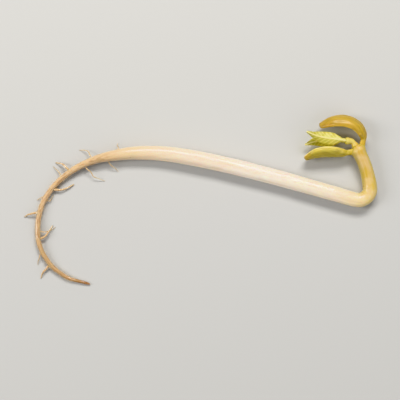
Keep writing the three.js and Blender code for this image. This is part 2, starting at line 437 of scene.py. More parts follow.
def rounded(start: float, radius: float, reach: float, steps: int = 10) -> Profile:
    """Rounds off the end of a profile.

    Args:
        start: The distance where the rounding starts.
        radius: The radius there.
        reach: How far the end reaches beyond the start.
        steps: How many rings it has.

    Returns:
        The rest of the profile, down to the axis.
    """
    angles = [math.pi / 2 * (k + 1) / steps for k in range(steps - 1)]
    end = [(start + reach * math.sin(angle), radius * math.cos(angle)) for angle in angles]
    return [*end, (start + reach, 0.0)]


def shrunk(spot: Spot, depth: float, fold: float = 0.0) -> Placed:
    """Moves a point of a round piece towards its axis.

    Args:
        spot: The turned point.
        depth: How far it moves, in mm.
        fold: How deep in a fold it lies, which the finishes paint as shade.

    Returns:
        Its place across the line.
    """
    radius = math.hypot(spot.right, spot.up)
    keep = (radius - depth) / radius if radius > depth else 1.0
    return Placed(spot.right * keep, spot.up * keep, fold)


def gathered(bm: bmesh.types.BMesh, part: bmesh.types.BMesh) -> None:
    """Moves a part's mesh into a larger one.

    Args:
        bm: The larger mesh.
        part: The part, which is freed.
    """
    holder = bpy.data.meshes.new("part")
    part.to_mesh(holder)
    part.free()
    bm.from_mesh(holder)
    bpy.data.meshes.remove(holder)


def linear(colour: str) -> tuple[float, float, float, float]:
    """Turns an sRGB hex value to a linear colour.

    Args:
        colour: The hex value, with its leading mark.

    Returns:
        Red, green, blue and full cover.
    """
    parts = (int(colour[k : k + 2], 16) / 255 for k in (1, 3, 5))
    red, green, blue = (p / 12.92 if p <= 0.04045 else ((p + 0.055) / 1.055) ** 2.4 for p in parts)
    return red, green, blue, 1.0


def add_node(
    tree: bpy.types.NodeTree,
    kind: str,
    settings: dict[str, Any] | None = None,
    inputs: dict[str | int, Any] | None = None,
    stops: Sequence[tuple[float, str]] = (),
) -> bpy.types.Node:
    """Adds one node to a material.

    Args:
        tree: The material's node tree.
        kind: The node's type.
        settings: The node's own properties.
        inputs: For an input's name, identifier or number, the socket that it is linked from or its value.
        stops: The places and colours of a colour ramp.

    Returns:
        The new node.
    """
    node = tree.nodes.new(kind)
    for name, value in (settings or {}).items():
        setattr(node, name, value)
    for key, value in (inputs or {}).items():
        named = (socket for socket in node.inputs if key in (socket.identifier, socket.name))
        socket = node.inputs[key] if isinstance(key, int) else next(named)
        if isinstance(value, bpy.types.NodeSocket):
            tree.links.new(value, socket)
        else:
            socket.default_value = value
    if stops:
        ramp = node.color_ramp.elements
        while len(ramp) < len(stops):
            ramp.new(1.0)
        for element, (place, colour) in zip(ramp, stops):
            element.position = place
            element.color = linear(colour)
    return node


Socket = bpy.types.NodeSocket
# Which output of a Mix node is its colour.
MIXED = 2


@dataclass
class Look:
    """The sockets that a pattern gives to its shader."""

    colour: Socket
    height: Socket
    roughness: Socket

    def tint(self, tree: bpy.types.NodeTree, share: Socket, colour: str) -> None:
        """Tints the colour where share is high.

        Args:
            tree: The material's node tree.
            share: How much of the tint shows, from 0 to 1.
            colour: The tint.
        """
        self.colour = add_node(tree, "ShaderNodeMix", {"data_type": "RGBA"}, {
            "Factor_Float": share, "A_Color": self.colour, "B_Color": linear(colour),
        }).outputs[MIXED]


@dataclass(frozen=True)
class PlantSkin:
    """Living plant skin: moist, waxy and a little translucent, with its grain along the piece.

    Light that goes in and comes out again softens every shadow on it, and its wax gives the wet shine. All
    lengths are in mm. The cells of a real skin are about 0.02 mm wide, too fine to show, so fibre_width and
    streak_width stand for bundles of them and are drawn as coarse as they need to show.
    """

    name: str
    tints: tuple[tuple[float, str], ...]
    fibre_tint: str
    patch_tint: str
    # The crease tint is painted shade: it darkens folds, creases, wrinkles and dents.
    crease_shade_tint: str
    speck_tint: str = "#8a5a2a"
    fibre_width: float = 0.16
    fibre_length: float = 5.0
    fibre_amount: float = 0.35
    streak_width: float = 0.5
    streak_length: float = 14.0
    streak_amount: float = 0.3
    streak_height: float = 1.4
    patch_size: float = 3.5
    patch_amount: float = 0.4
    # The noise at which a patch, streak or fibre starts to show, and at which it shows in full.
    mark_band: tuple[float, float] = (0.46, 0.7)
    crease_shade_amount: float = 0.6
    speck_spacing: float = 2.6
    speck_size: float = 0.12
    speck_amount: float = 0.75
    # The share of the places for a speck that stay bare.
    bare_places: float = 0.55
    # Where along the piece the marks start to show and show in full, the other way round on the root.
    plain_at: tuple[float, float] = (-2.0, -1.0)
    roughness: tuple[float, float] = (0.28, 0.45)
    # The noise at which the skin is at its glossiest and at its dullest.
    dull_band: tuple[float, float] = (0.3, 0.7)
    bump: float = 0.02
    # Water and cell walls, and how far red, green and blue light go in them as shares of the depth.
    ior: float = 1.42
    light_reach: Triple = (1.0, 0.72, 0.4)
    depth: float = 0.7
    glow: float = 0.3
    wax: float = 0.35
    wax_roughness: float = 0.14

    def make(self) -> bpy.types.Material:
        """Builds the material.

        Returns:
            The material.
        """
        material = bpy.data.materials.new(self.name)
        material.use_nodes = True
        tree = material.node_tree
        tree.nodes.clear()
        look = self.pattern(tree)
        bump = add_node(tree, "ShaderNodeBump", {}, {
            "Strength": 1.0, "Distance": self.bump * MM, "Height": look.height,
        })
        shader = add_node(tree, "ShaderNodeBsdfPrincipled", {"subsurface_method": "RANDOM_WALK"}, {
            "Base Color": look.colour,
            "Roughness": look.roughness,
            "Normal": bump.outputs[0],
            "IOR": self.ior,
            "Subsurface Weight": self.glow,
            "Subsurface Radius": self.light_reach,
            "Subsurface Scale": self.depth * MM,
            "Coat Weight": self.wax,
            "Coat Roughness": self.wax_roughness,
        })
        add_node(tree, "ShaderNodeOutputMaterial", {}, {"Surface": shader.outputs[0]})
        return material

    def pattern(self, tree: bpy.types.NodeTree) -> Look:
        """Adds the nodes of the pattern: tints along the piece, patches, streaks, fibres, painted shade in
        folds, and specks.

        Args:
            tree: The material's node tree.

        Returns:
            What the pattern gives to the shader.
        """
        grain = add_node(tree, "ShaderNodeAttribute", {"attribute_name": "grain"}).outputs["Vector"]
        way = add_node(tree, "ShaderNodeAttribute", {"attribute_name": "way"}).outputs["Fac"]
        fold = add_node(tree, "ShaderNodeAttribute", {"attribute_name": "fold"}).outputs["Fac"]
        base = add_node(tree, "ShaderNodeValToRGB", {}, {"Fac": way}, self.tints).outputs["Color"]
        uneven = []
        for width, length, detail in (
            (self.patch_size, self.patch_size, 3.0),
            (self.streak_width, self.streak_length, 2.0),
            (self.fibre_width, self.fibre_length, 4.0),
        ):
            scale = (1 / width, 1 / length, 1 / width)
            stretched = add_node(tree, "ShaderNodeMapping", {}, {"Vector": grain, "Scale": scale}).outputs[0]
            uneven.append(add_node(tree, "ShaderNodeTexNoise", {}, {
                "Vector": stretched, "Scale": 1.0, "Detail": detail, "Roughness": 0.6, "Distortion": 0.3,
            }).outputs["Fac"])
        patches, streaks, fibres = uneven
        height = add_node(tree, "ShaderNodeMath", {"operation": "MULTIPLY_ADD"}, {
            0: streaks, 1: self.streak_height, 2: fibres,
        })
        shown = add_node(tree, "ShaderNodeMapRange", {"interpolation_type": "SMOOTHSTEP"}, {
            "Value": way, "From Min": self.plain_at[0], "From Max": self.plain_at[1],
        }).outputs["Result"]
        dulled = add_node(tree, "ShaderNodeMath", {"operation": "MULTIPLY"}, {0: patches, 1: shown})
        roughness = add_node(tree, "ShaderNodeMapRange", {"clamp": True}, {
            "Value": dulled.outputs[0], "From Min": self.dull_band[0], "From Max": self.dull_band[1],
            "To Min": self.roughness[0], "To Max": self.roughness[1],
        }).outputs["Result"]

        look = Look(base, height.outputs[0], roughness)
        # The last row paints shade into folds, creases, wrinkles and dents.
        for mask, (start, end), amount, colour in (
            (patches, self.mark_band, self.patch_amount, self.patch_tint),
            (streaks, self.mark_band, self.streak_amount, self.fibre_tint),
            (fibres, self.mark_band, self.fibre_amount, self.fibre_tint),
            (fold, (0.0, 1.0), self.crease_shade_amount, self.crease_shade_tint),
        ):
            strength = add_node(tree, "ShaderNodeMapRange", {"clamp": True}, {
                "Value": mask, "From Min": start, "From Max": end, "To Min": 0.0, "To Max": amount,
            }).outputs["Result"]
            share = add_node(tree, "ShaderNodeMath", {"operation": "MULTIPLY"}, {0: strength, 1: shown})
            look.tint(tree, share.outputs[0], colour)

        cells = add_node(tree, "ShaderNodeTexVoronoi", {}, {
            "Vector": grain, "Scale": 1 / self.speck_spacing, "Randomness": 1.0,
        })
        rare = add_node(tree, "ShaderNodeMath", {"operation": "GREATER_THAN"}, {
            0: cells.outputs["Color"], 1: self.bare_places,
        })
        # A speck is full over a third of its size, and fades from there to its edge.
        size = self.speck_size / self.speck_spacing
        near = add_node(tree, "ShaderNodeMapRange", {"clamp": True}, {
            "Value": cells.outputs["Distance"], "From Min": size, "From Max": size / 3,
            "To Min": 0.0, "To Max": self.speck_amount,
        }).outputs["Result"]
        specks = add_node(tree, "ShaderNodeMath", {"operation": "MULTIPLY"}, {0: rare.outputs[0], 1: near})
        look.tint(tree, specks.outputs[0], self.speck_tint)
        return look


@dataclass(frozen=True)
class StemSkin(PlantSkin):
    """The skin of a stem grown in the dark: wet and white, with painted olive-green shade along both flanks
    of its neck.
    """

    flank_shade_tint: str = "#b0a034"
    flank_shade_amount: float = 0.7
    # How squarely the skin faces sideways where the painted flank shade starts and where it is full.
    flank_shade_band: tuple[float, float] = (0.45, 1.0)
    # Where along the stem it starts and where it is full.
    neck_band: tuple[float, float] = (0.68, 0.95)

    def pattern(self, tree: bpy.types.NodeTree) -> Look:
        """Adds the painted olive-green shade on the neck's flanks to the plain skin's pattern.

        Args:
            tree: The material's node tree.

        Returns:
            What the pattern gives to the shader.
        """
        look = super().pattern(tree)
        way = add_node(tree, "ShaderNodeAttribute", {"attribute_name": "way"}).outputs["Fac"]
        facing = add_node(tree, "ShaderNodeAttribute", {"attribute_name": "facing"}).outputs["Vector"]
        right = add_node(tree, "ShaderNodeSeparateXYZ", {}, {0: facing}).outputs["X"]
        flank = add_node(tree, "ShaderNodeMath", {"operation": "ABSOLUTE"}, {0: right}).outputs[0]
        # Painted shade, olive-green, on the flanks that face sideways.
        edge_shade = add_node(tree, "ShaderNodeMapRange", {"interpolation_type": "SMOOTHSTEP"}, {
            "Value": flank, "From Min": self.flank_shade_band[0], "From Max": self.flank_shade_band[1],
            "To Min": 0.0, "To Max": self.flank_shade_amount,
        }).outputs["Result"]
        in_neck = add_node(tree, "ShaderNodeMapRange", {"interpolation_type": "SMOOTHSTEP"}, {
            "Value": way, "From Min": self.neck_band[0], "From Max": self.neck_band[1],
        }).outputs["Result"]
        share = add_node(tree, "ShaderNodeMath", {"operation": "MULTIPLY"}, {0: edge_shade, 1: in_neck})
        look.tint(tree, share.outputs[0], self.flank_shade_tint)
        return look


@dataclass(frozen=True)
class SeedLeafSkin(PlantSkin):
    """Half a split bean: satin and olive on its back, paler on its flat inner face, with a painted highlight
    along its rim.
    """

    speck_tint: str = "#7a5320"
    fibre_length: float = 2.2
    fibre_amount: float = 0.5
    streak_width: float = 0.45
    streak_length: float = 4.5
    streak_amount: float = 0.45
    speck_spacing: float = 2.4
    roughness: tuple[float, float] = (0.34, 0.5)
    bump: float = 0.03
    depth: float = 0.5
    wax: float = 0.25
    # Each has its tint, its strength, and how far outwards the skin faces where it starts and is full.
    back_tint: str = "#a58c2a"
    back_amount: float = 0.5
    back_band: tuple[float, float] = (0.25, 0.95)
    inner_tint: str = "#ecdc9a"
    inner_amount: float = 0.85
    inner_band: tuple[float, float] = (-0.1, -0.45)
    # A painted highlight along the rim.
    rim_highlight_tint: str = "#dcc060"
    rim_highlight_amount: float = 0.6
    # The rim lies this far inwards, and its band is counted from there.
    rim_inwards: float = 0.14
    rim_highlight_band: tuple[float, float] = (0.14, 0.02)
    # Where along the leaf the stalk ends and the blade starts.
    blade_band: tuple[float, float] = (0.12, 0.35)

    def pattern(self, tree: bpy.types.NodeTree) -> Look:
        """Adds the back, the inner face and a painted highlight along the rim to the plain skin's pattern.

        Args:
            tree: The material's node tree.

        Returns:
            What the pattern gives to the shader.
        """
        look = super().pattern(tree)
        way = add_node(tree, "ShaderNodeAttribute", {"attribute_name": "way"}).outputs["Fac"]
        facing = add_node(tree, "ShaderNodeAttribute", {"attribute_name": "facing"}).outputs["Vector"]
        outward = add_node(tree, "ShaderNodeSeparateXYZ", {}, {0: facing}).outputs["X"]
        past_rim = add_node(tree, "ShaderNodeMath", {"operation": "ADD"}, {0: outward, 1: self.rim_inwards})
        off_rim = add_node(tree, "ShaderNodeMath", {"operation": "ABSOLUTE"}, {0: past_rim.outputs[0]})
        grown = add_node(tree, "ShaderNodeMapRange", {"interpolation_type": "SMOOTHSTEP"}, {
            "Value": way, "From Min": self.blade_band[0], "From Max": self.blade_band[1],
        }).outputs["Result"]
        for value, (start, end), amount, colour in (
            (outward, self.back_band, self.back_amount, self.back_tint),
            (outward, self.inner_band, self.inner_amount, self.inner_tint),
            (off_rim.outputs[0], self.rim_highlight_band, self.rim_highlight_amount, self.rim_highlight_tint),
        ):
            there = add_node(tree, "ShaderNodeMapRange", {"interpolation_type": "SMOOTHSTEP"}, {
                "Value": value, "From Min": start, "From Max": end, "To Min": 0.0, "To Max": amount,
            }).outputs["Result"]
            share = add_node(tree, "ShaderNodeMath", {"operation": "MULTIPLY"}, {0: there, 1: grown})
            look.tint(tree, share.outputs[0], colour)
        return look


@dataclass(frozen=True)
class YoungLeafSkin(PlantSkin):
    """A young leaf: satin and thin, with pale veins that branch from its middle rib."""

    vein_tint: str = "#ece3a0"
    vein_spacing: float = 0.9
    # How far along the leaf a vein runs for each mm that it runs sideways.
    vein_slope: float = 1.1
    # How far from their middle, in mm, veins and rib fade out, how far the rib is full, and their strengths.
    vein_reach: float = 0.1
    vein_amount: float = 0.45
    rib_reach: float = 0.18
    rib_core: float = 0.05
    rib_amount: float = 0.85

    def pattern(self, tree: bpy.types.NodeTree) -> Look:
        """Adds the veins to the plain skin's pattern.

        Args:
            tree: The material's node tree.

        Returns:
            What the pattern gives to the shader.
        """
        look = super().pattern(tree)
        grain = add_node(tree, "ShaderNodeAttribute", {"attribute_name": "grain"}).outputs["Vector"]
        parts = add_node(tree, "ShaderNodeSeparateXYZ", {}, {0: grain}).outputs
        side = add_node(tree, "ShaderNodeMath", {"operation": "ABSOLUTE"}, {0: parts["Z"]}).outputs[0]
        slanted = add_node(tree, "ShaderNodeMath", {"operation": "MULTIPLY_ADD"}, {
            0: side, 1: -self.vein_slope, 2: parts["Y"],
        }).outputs[0]
        wave = add_node(tree, "ShaderNodeMath", {"operation": "PINGPONG"}, {
            0: slanted, 1: self.vein_spacing / 2,
        }).outputs[0]
        branch = add_node(tree, "ShaderNodeMapRange", {"clamp": True}, {
            "Value": wave, "From Min": self.vein_reach, "From Max": 0.0,
            "To Min": 0.0, "To Max": self.vein_amount,
        }).outputs["Result"]
        rib = add_node(tree, "ShaderNodeMapRange", {"clamp": True}, {
            "Value": side, "From Min": self.rib_reach, "From Max": self.rib_core,
            "To Min": 0.0, "To Max": self.rib_amount,
        }).outputs["Result"]
        veins = add_node(tree, "ShaderNodeMath", {"operation": "MAXIMUM"}, {0: branch, 1: rib})
        look.tint(tree, veins.outputs[0], self.vein_tint)
        return look


@dataclass(frozen=True)
class TableTop:
    """Matt lacquered board: plain and pale, with only the faintest unevenness in its shine."""

    name: str = "matt_lacquered_board"
    tint: str = "#bebebc"
    clouds_per_metre: float = 40.0
    roughness: tuple[float, float] = (0.55, 0.7)

    def make(self) -> bpy.types.Material:
        """Builds the material.

        Returns:
            The material.
        """
        material = bpy.data.materials.new(self.name)
        material.use_nodes = True
        tree = material.node_tree
        tree.nodes.clear()
        place = add_node(tree, "ShaderNodeTexCoord").outputs["Object"]
        clouds = add_node(tree, "ShaderNodeTexNoise", {}, {
            "Vector": place, "Scale": self.clouds_per_metre, "Detail": 3.0,
        })
        roughness = add_node(tree, "ShaderNodeMapRange", {}, {
            "Value": clouds.outputs["Fac"], "To Min": self.roughness[0], "To Max": self.roughness[1],
        })
        shader = add_node(tree, "ShaderNodeBsdfPrincipled", {}, {
            "Base Color": linear(self.tint), "Roughness": roughness.outputs[0],
        })
        add_node(tree, "ShaderNodeOutputMaterial", {}, {"Surface": shader.outputs[0]})
        return material


class Finish(Enum):
    """The finishes that the sprout's pieces take. A tint's place is its share of the way along the piece."""

    # Wet white stem: bright and glassy, tan where it narrows to the root, honey and then yellow in its neck.
    STEM = StemSkin(
        name="turgid_seedling_stem_skin",
        tints=(
            (0.4, "#e6cca4"), (0.43, "#edd8b9"), (0.49, "#f7e7d2"), (0.58, "#fef0e2"), (0.67, "#fcecd2"),
            (0.73, "#f3deac"), (0.79, "#e3c877"), (0.87, "#d2b552"), (0.94, "#ccac45"), (1.0, "#c9a840"),
        ),
        fibre_tint="#dfcca8",
        patch_tint="#f4dbca",
        crease_shade_tint="#c5a052",
        streak_width=0.36,
        streak_amount=0.34,
        fibre_amount=0.3,
        plain_at=(0.4, 0.46),
        roughness=(0.3, 0.42),
        bump=0.014,
        depth=1.1,
        glow=0.5,
        wax=0.9,
        wax_roughness=0.08,
    )
    # Root skin that has begun to dry: tan with brown lines and a brown tip, duller the thinner it is.
    ROOT = PlantSkin(
        name="drying_root_skin",
        tints=(
            (0.0, "#8c6038"), (0.02, "#ae8657"), (0.08, "#c9aa7e"), (0.2, "#d7b88e"), (0.32, "#dfc39a"),
            (0.4, "#e6cca4"),
        ),
        fibre_tint="#b38e60",
        patch_tint="#c6a072",
        crease_shade_tint="#946c42",
        fibre_width=0.1,
        fibre_length=1.4,
        streak_width=0.3,
        streak_length=3.0,
        patch_size=1.4,
        speck_spacing=1.6,
        plain_at=(0.4, 0.32),
        roughness=(0.3, 0.7),
        bump=0.025,
        depth=1.0,
        glow=0.4,
        wax=0.9,
        wax_roughness=0.08,
    )
    # Root hairs: dry and nearly colourless, a pale fuzz on the tan root.
    ROOT_HAIR = PlantSkin(
        name="root_hair_skin",
        tints=((0.0, "#f0dfc2"), (1.0, "#e2caa2")),
        fibre_tint="#d2b68a",
        patch_tint="#dcc29a",
        crease_shade_tint="#b8955f",
        patch_size=2.0,
        roughness=(0.5, 0.6),
        depth=0.1,
        wax=0.0,
    )
    # Seed leaf that saw little light: golden with olive lines and patches, in a satin shine.
    SEED_LEAF_GOLD = SeedLeafSkin(
        name="golden_seed_leaf_skin",
        tints=((0.0, "#caa940"), (0.1, "#d0b046"), (0.45, "#d0ad4a"), (0.8, "#c6a044"), (1.0, "#b88c3a")),
        fibre_tint="#a88a34",
        patch_tint="#ae9538",
        crease_shade_tint="#8c7026",
        patch_size=2.4,
    )
    # Seed leaf that saw more light: the same skin, a step greener.
    SEED_LEAF_GREEN = SeedLeafSkin(
        name="greened_seed_leaf_skin",
        tints=((0.0, "#caa940"), (0.1, "#d4bc52"), (0.45, "#d9c964"), (0.8, "#d0bc5a"), (1.0, "#bf9f4a")),
        fibre_tint="#b3a242",
        patch_tint="#c4b54c",
        crease_shade_tint="#988630",
        back_tint="#a89a38",
        inner_tint="#eadb90",
        rim_highlight_tint="#ddd078",
        patch_size=2.0,
    )
    # Tender shoot: pale yellow-green and moist, finely lined.
    SHOOT = PlantSkin(
        name="tender_shoot_skin",
        tints=((0.0, "#d0b04a"), (0.5, "#e0cd78"), (1.0, "#d6c86c")),
        fibre_tint="#cbbb64",
        patch_tint="#dccb76",
        crease_shade_tint="#b3a04a",
        fibre_width=0.12,
        fibre_length=1.5,
        streak_width=0.3,
        streak_length=2.0,
        patch_size=0.8,
        depth=0.4,
    )
    # Young leaf: thin, yellow-green and satin, darker to its tip, with pale veins.
    YOUNG_LEAF = YoungLeafSkin(
        name="young_leaf_skin",
        tints=((0.0, "#dfd581"), (0.2, "#d9cf70"), (0.6, "#cbc25c"), (1.0, "#a8a044")),
        fibre_tint="#b5ab4c",
        patch_tint="#bdb650",
        crease_shade_tint="#9a9438",
        speck_tint="#957434",
        fibre_width=0.14,
        fibre_length=0.5,
        streak_width=0.4,
        streak_length=1.5,
        patch_size=1.2,
        speck_spacing=1.6,
        roughness=(0.36, 0.5),
        depth=0.25,
        wax=0.15,
    )

    def material(self) -> bpy.types.Material:
        """The finish's material, made when it is first asked for."""
        return bpy.data.materials.get(self.value.name) or self.value.make()


# An edge that turns by more than this is drawn sharp.
SHARP_EDGE = math.radians(55.0)


def finished(bm: bmesh.types.BMesh, name: str, finish: Finish, node: str) -> bpy.types.Object:
    """Turns a shaped body into a piece of the sprout, in metres, in place of its solid.

    Args:
        bm: The shaped body, in millimetres. It is freed.
        name: The piece's name.
        finish: Its finish.
        node: The solid that it stands for.

    Returns:
        The piece.
    """
    for edge in bm.edges:
        edge.smooth = edge.calc_face_angle(0.0) < SHARP_EDGE
    for face in bm.faces:
        face.smooth = True
    bmesh.ops.scale(bm, vec=(MM, MM, MM), verts=bm.verts)
    mesh = bpy.data.meshes.new(name)
    bm.to_mesh(mesh)
    bm.free()
    mesh.materials.append(finish.material())
    piece = bpy.data.objects.new(name, mesh)
    bpy.context.scene.collection.objects.link(piece)
    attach(piece, "root")
    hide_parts(node)
    return piece


class MiddleLine:
    """The one line that root, stem, hook and neck follow, and the girth along it."""

    def __init__(self) -> None:
        """Works out the line, the girth, and where on it the collar and the hook are."""
        hook = []
        for k in range(HOOK_POINTS):
            heading = HOOK_HEADINGS[0] + (HOOK_HEADINGS[1] - HOOK_HEADINGS[0]) * k / (HOOK_POINTS - 1)
            place = Vector((*HOOK_CENTRE, 0.0)) + polar(heading - 90.0, HOOK_RADIUS)
            hook.append((place.x, place.y, HOOK_SHARE, 0.0))
        rows = [(x, y, share * ROOT_DIAMETER, lift) for x, y, share, lift in ROOT_LINE]
        rows += [(x, y, share * STEM_DIAMETER, lift) for x, y, share, lift in (*STEM_LINE, *hook, *NECK_LINE)]
        self.line = SmoothLine([(x, y, diameter / 2 + lift) for x, y, diameter, lift in rows])
        self.girth = SmoothLine([(row[2] / 2, k, 0.0) for k, row in enumerate(rows)])
        self.collar = len(ROOT_LINE) / self.line.spans
        hook_start = len(ROOT_LINE) + len(STEM_LINE)
        self.hook = (hook_start / self.line.spans, (hook_start + HOOK_POINTS - 1) / self.line.spans)

    def radius(self, share: float) -> float:
        """The radius at a share of the way."""
        return self.girth.at(share).x * GIRTH_KEPT

    def sleeve(self, start: float, end: float, spacing: float) -> Profile:
        """The profile between two distances."""
        places = SmoothLine.steps(start, end, spacing)
        return [(place, self.radius(self.line.share_at(place))) for place in places]

    def foot(self, degrees: float) -> Vector:
        """Where a stalk starts that leaves the joint at the stem's head in that direction."""
        return self.line.at(1.0) + polar(degrees, self.girth.at(1.0).x + JOIN_GAP)


@dataclass
class Stem:
    """The white stem with its hook and neck, and the joint at its head."""

    middle: MiddleLine
    sides: int = 96
    spacing: float = 0.12
    swell: Unevenness = Unevenness(0.7, 7.0)
    swell_depth: float = 0.06
    flute_count: int = 7
    flute_depth: float = 0.036
    # How slowly the flutes stray round the stem, and how far, in radians.
    drift: Unevenness = Unevenness(0.0, 16.0, (0.0, 4.0))
    drift_angle: float = 5.0
    ridge: Unevenness = Unevenness(6.0, 5.0)
    ridge_depth: float = 0.02
    dent: Unevenness = Unevenness(1.5, 4.5, (9.0, 0.0))
    # The noise at which a dent starts, and at which it is at its deepest.
    dent_band: tuple[float, float] = (0.6, 0.85)
    dent_depth: float = 0.06
    dent_shade: float = 0.12
    crease_spacing: float = 0.62
    crease_depth: float = 0.07
    # How far a crease strays from its even place in radians, over what length, and how finely round the stem.
    crease_drift: float = 4.4
    crease_drift_length: float = 0.9
    crease_drift_around: float = 1.5
    # How closely the creases keep to the inside of the hook.
    crease_focus: float = 1.5
    # Where they fade in at the hook's start and out at its end, in shares of the way.
    creases_in: tuple[float, float] = (-0.02, 0.03)
    creases_out: tuple[float, float] = (-0.02, 0.05)
    # The share of the way over which the relief grows from the collar.
    collar_reach: float = 0.03
    # The joint at the head is a little longer than round.
    head_reach: float = 1.12
    head_rings: int = 14
    knuckle_height: float = 0.45
    # How wide a knuckle is, in degrees seen from the middle of the joint.
    knuckle_width: float = 36.0
    knuckle_reach: float = 2.5

    def knuckle(self, spot: Spot) -> float:
        """Works out how far the joint swells towards the stalks that it carries.

        Args:
            spot: The turned point.

        Returns:
            The swelling there, in mm.
        """
        past = spot.distance - self.middle.line.length
        if past < -self.knuckle_reach:
            return 0.0
        along, side, across = self.middle.line.directions(1.0)
        towards = along * past + side * spot.right + across * spot.up
        stalks = (polar(degrees, 1.0) for degrees in (UPPER_LEAVES_AT, SHOOT_LEAVES_AT, LOWER_LEAVES_AT))
        nearest = math.degrees(min(towards.angle(stalk, 0.0) for stalk in stalks))
        outward = math.hypot(spot.right, spot.up) / self.middle.radius(1.0)
        return self.knuckle_height * hump(nearest, self.knuckle_width) * outward

    def relief(self, spot: Spot) -> Placed:
        """Shapes flutes along the stem, slow swells, a few dents, and creases inside the hook's fold.

        Args:
            spot: The turned point.

        Returns:
            Its place across the line.
        """
        share, distance = spot.share, spot.distance
        angle = math.atan2(spot.up, spot.right)
        cos, sin = math.cos(angle), math.sin(angle)
        swell = self.swell_depth * self.swell.at(cos, sin, distance)
        strayed = self.drift_angle * self.drift.at(cos, sin, distance) - self.drift_angle / 2
        flute = self.flute_depth * (0.5 + 0.5 * math.cos(self.flute_count * angle + strayed))
        ridge = self.ridge_depth * self.ridge.at(cos, sin, distance)
        dent = ease(self.dent.at(cos, sin, distance), *self.dent_band)
        crease = self.crease(share, distance, cos, sin)
        depth = swell + flute + ridge + self.dent_depth * dent + self.crease_depth * crease
        grown = ease(share, self.middle.collar, self.middle.collar + self.collar_reach)
        depth = COLLAR_DEPTH + (depth - COLLAR_DEPTH) * grown - self.knuckle(spot)
        return shrunk(spot, depth, min(crease + self.dent_shade * dent, 1.0))

    def crease(self, share: float, distance: float, cos: float, sin: float) -> float:
        """Works out how deep in a crease of the hook's fold a point lies.

        Args:
            share: The share of the way along the line.
            distance: The distance along the line, in mm.
            cos: How far to the right the skin faces there.
            sin: How far up it faces.

        Returns:
            0 outside the creases and 1 at the bottom of the deepest.
        """
        start, end = self.middle.hook
        fading_in = ease(share, start + self.creases_in[0], start + self.creases_in[1])
        fading_out = 1.0 - ease(share, end + self.creases_out[0], end + self.creases_out[1])
        inside = max(-cos, 0.0) ** self.crease_focus
        around = self.crease_drift_around
        strayed = self.crease_drift * rough(distance / self.crease_drift_length, cos * around, sin * around)
        beat = math.tau * distance / self.crease_spacing + (strayed - self.crease_drift / 2)
        groove = (0.5 + 0.5 * math.cos(beat)) ** 2
        return fading_in * fading_out * inside * groove

    def shape(self) -> bmesh.types.BMesh:
        """Makes the mesh.

        Returns:
            The stem from its collar to the rounded joint at its head.
        """
        line = self.middle.line
        start = line.distance_at(self.middle.collar)
        sleeve = self.middle.sleeve(start, line.length, self.spacing)
        radius = sleeve[-1][1]
        head = rounded(line.length, radius, radius * self.head_reach, self.head_rings)
        bm = turned([(start, 0.0), *sleeve, *head], self.sides)
        bend(bm, line, self.relief)
        return bm

    def build(self) -> bpy.types.Object:
        """Makes the stem."""
        return finished(self.shape(), "stem", Finish.STEM, "hypocotyl_stem")


